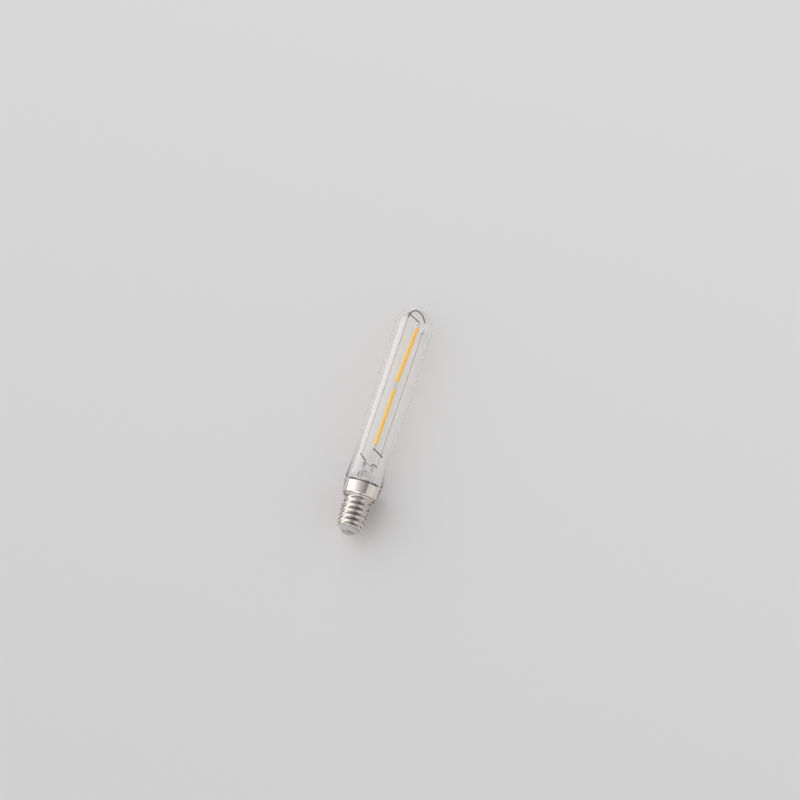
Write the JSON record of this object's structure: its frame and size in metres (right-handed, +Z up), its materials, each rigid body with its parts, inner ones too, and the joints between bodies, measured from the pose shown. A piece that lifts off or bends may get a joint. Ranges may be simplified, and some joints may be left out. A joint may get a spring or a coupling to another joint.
{
  "type": "tubular light bulb",
  "caption": "Clear glass tubular LED filament bulb with a domed end, wire-mounted amber filaments and a nickel-plated E14 screw cap.",
  "frame": {"origin": "centre of the centre contact's end face, on the bulb's axis", "axes": "+Y along the bulb from the cap to the dome, +Z up as the bulb lies in the picture, +X to the right"},
  "size_m": [0.0192, 0.124, 0.0192],
  "materials": {
    "clear_glass": "clear blown glass",
    "stem_glass": "clear lamp-worked glass",
    "nickel_plate": "bright nickel plating on drawn brass",
    "insulator": "smooth pale moulding",
    "contact_metal": "satin nickel",
    "cement": "matt cement",
    "lead_wire": "dull drawn wire",
    "support_wire": "bright drawn wire",
    "copper": "copper wire",
    "phosphor": "amber phosphor in silicone",
    "tab_metal": "plated strip",
    "circuit_board": "solder mask",
    "capacitor_sleeve": "shrunk sleeve",
    "package": "moulded package",
    "resistor_coat": "fired coating"
  },
  "bodies": {
    "root": {"glass_envelope": "clear_glass", "glass_stem": "stem_glass", "insulating_bead": "stem_glass", "base_shell": "nickel_plate", "base_insulator": "insulator", "centre_contact": "contact_metal", "base_cement": "cement", "left_inner_lead": "lead_wire", "right_inner_lead": "lead_wire", "left_outer_lead": "copper", "right_outer_lead": "copper", "left_support_wire": "support_wire", "right_support_wire": "support_wire", "lower_hanger_bar": "lead_wire", "upper_hanger_bar": "lead_wire", "top_bow": "lead_wire", "lower_filament": "phosphor", "upper_filament": "phosphor", "lower_filament_foot_tab": "tab_metal", "lower_filament_head_tab": "tab_metal", "upper_filament_foot_tab": "tab_metal", "upper_filament_head_tab": "tab_metal", "driver_board": "circuit_board", "smoothing_capacitor": "capacitor_sleeve", "bridge_rectifier": "package", "driver_chip": "package", "fuse_resistor": "resistor_coat", "sense_resistors": "package", "contact_lead": "copper", "shell_lead": "copper"}
  },
  "joints": []
}
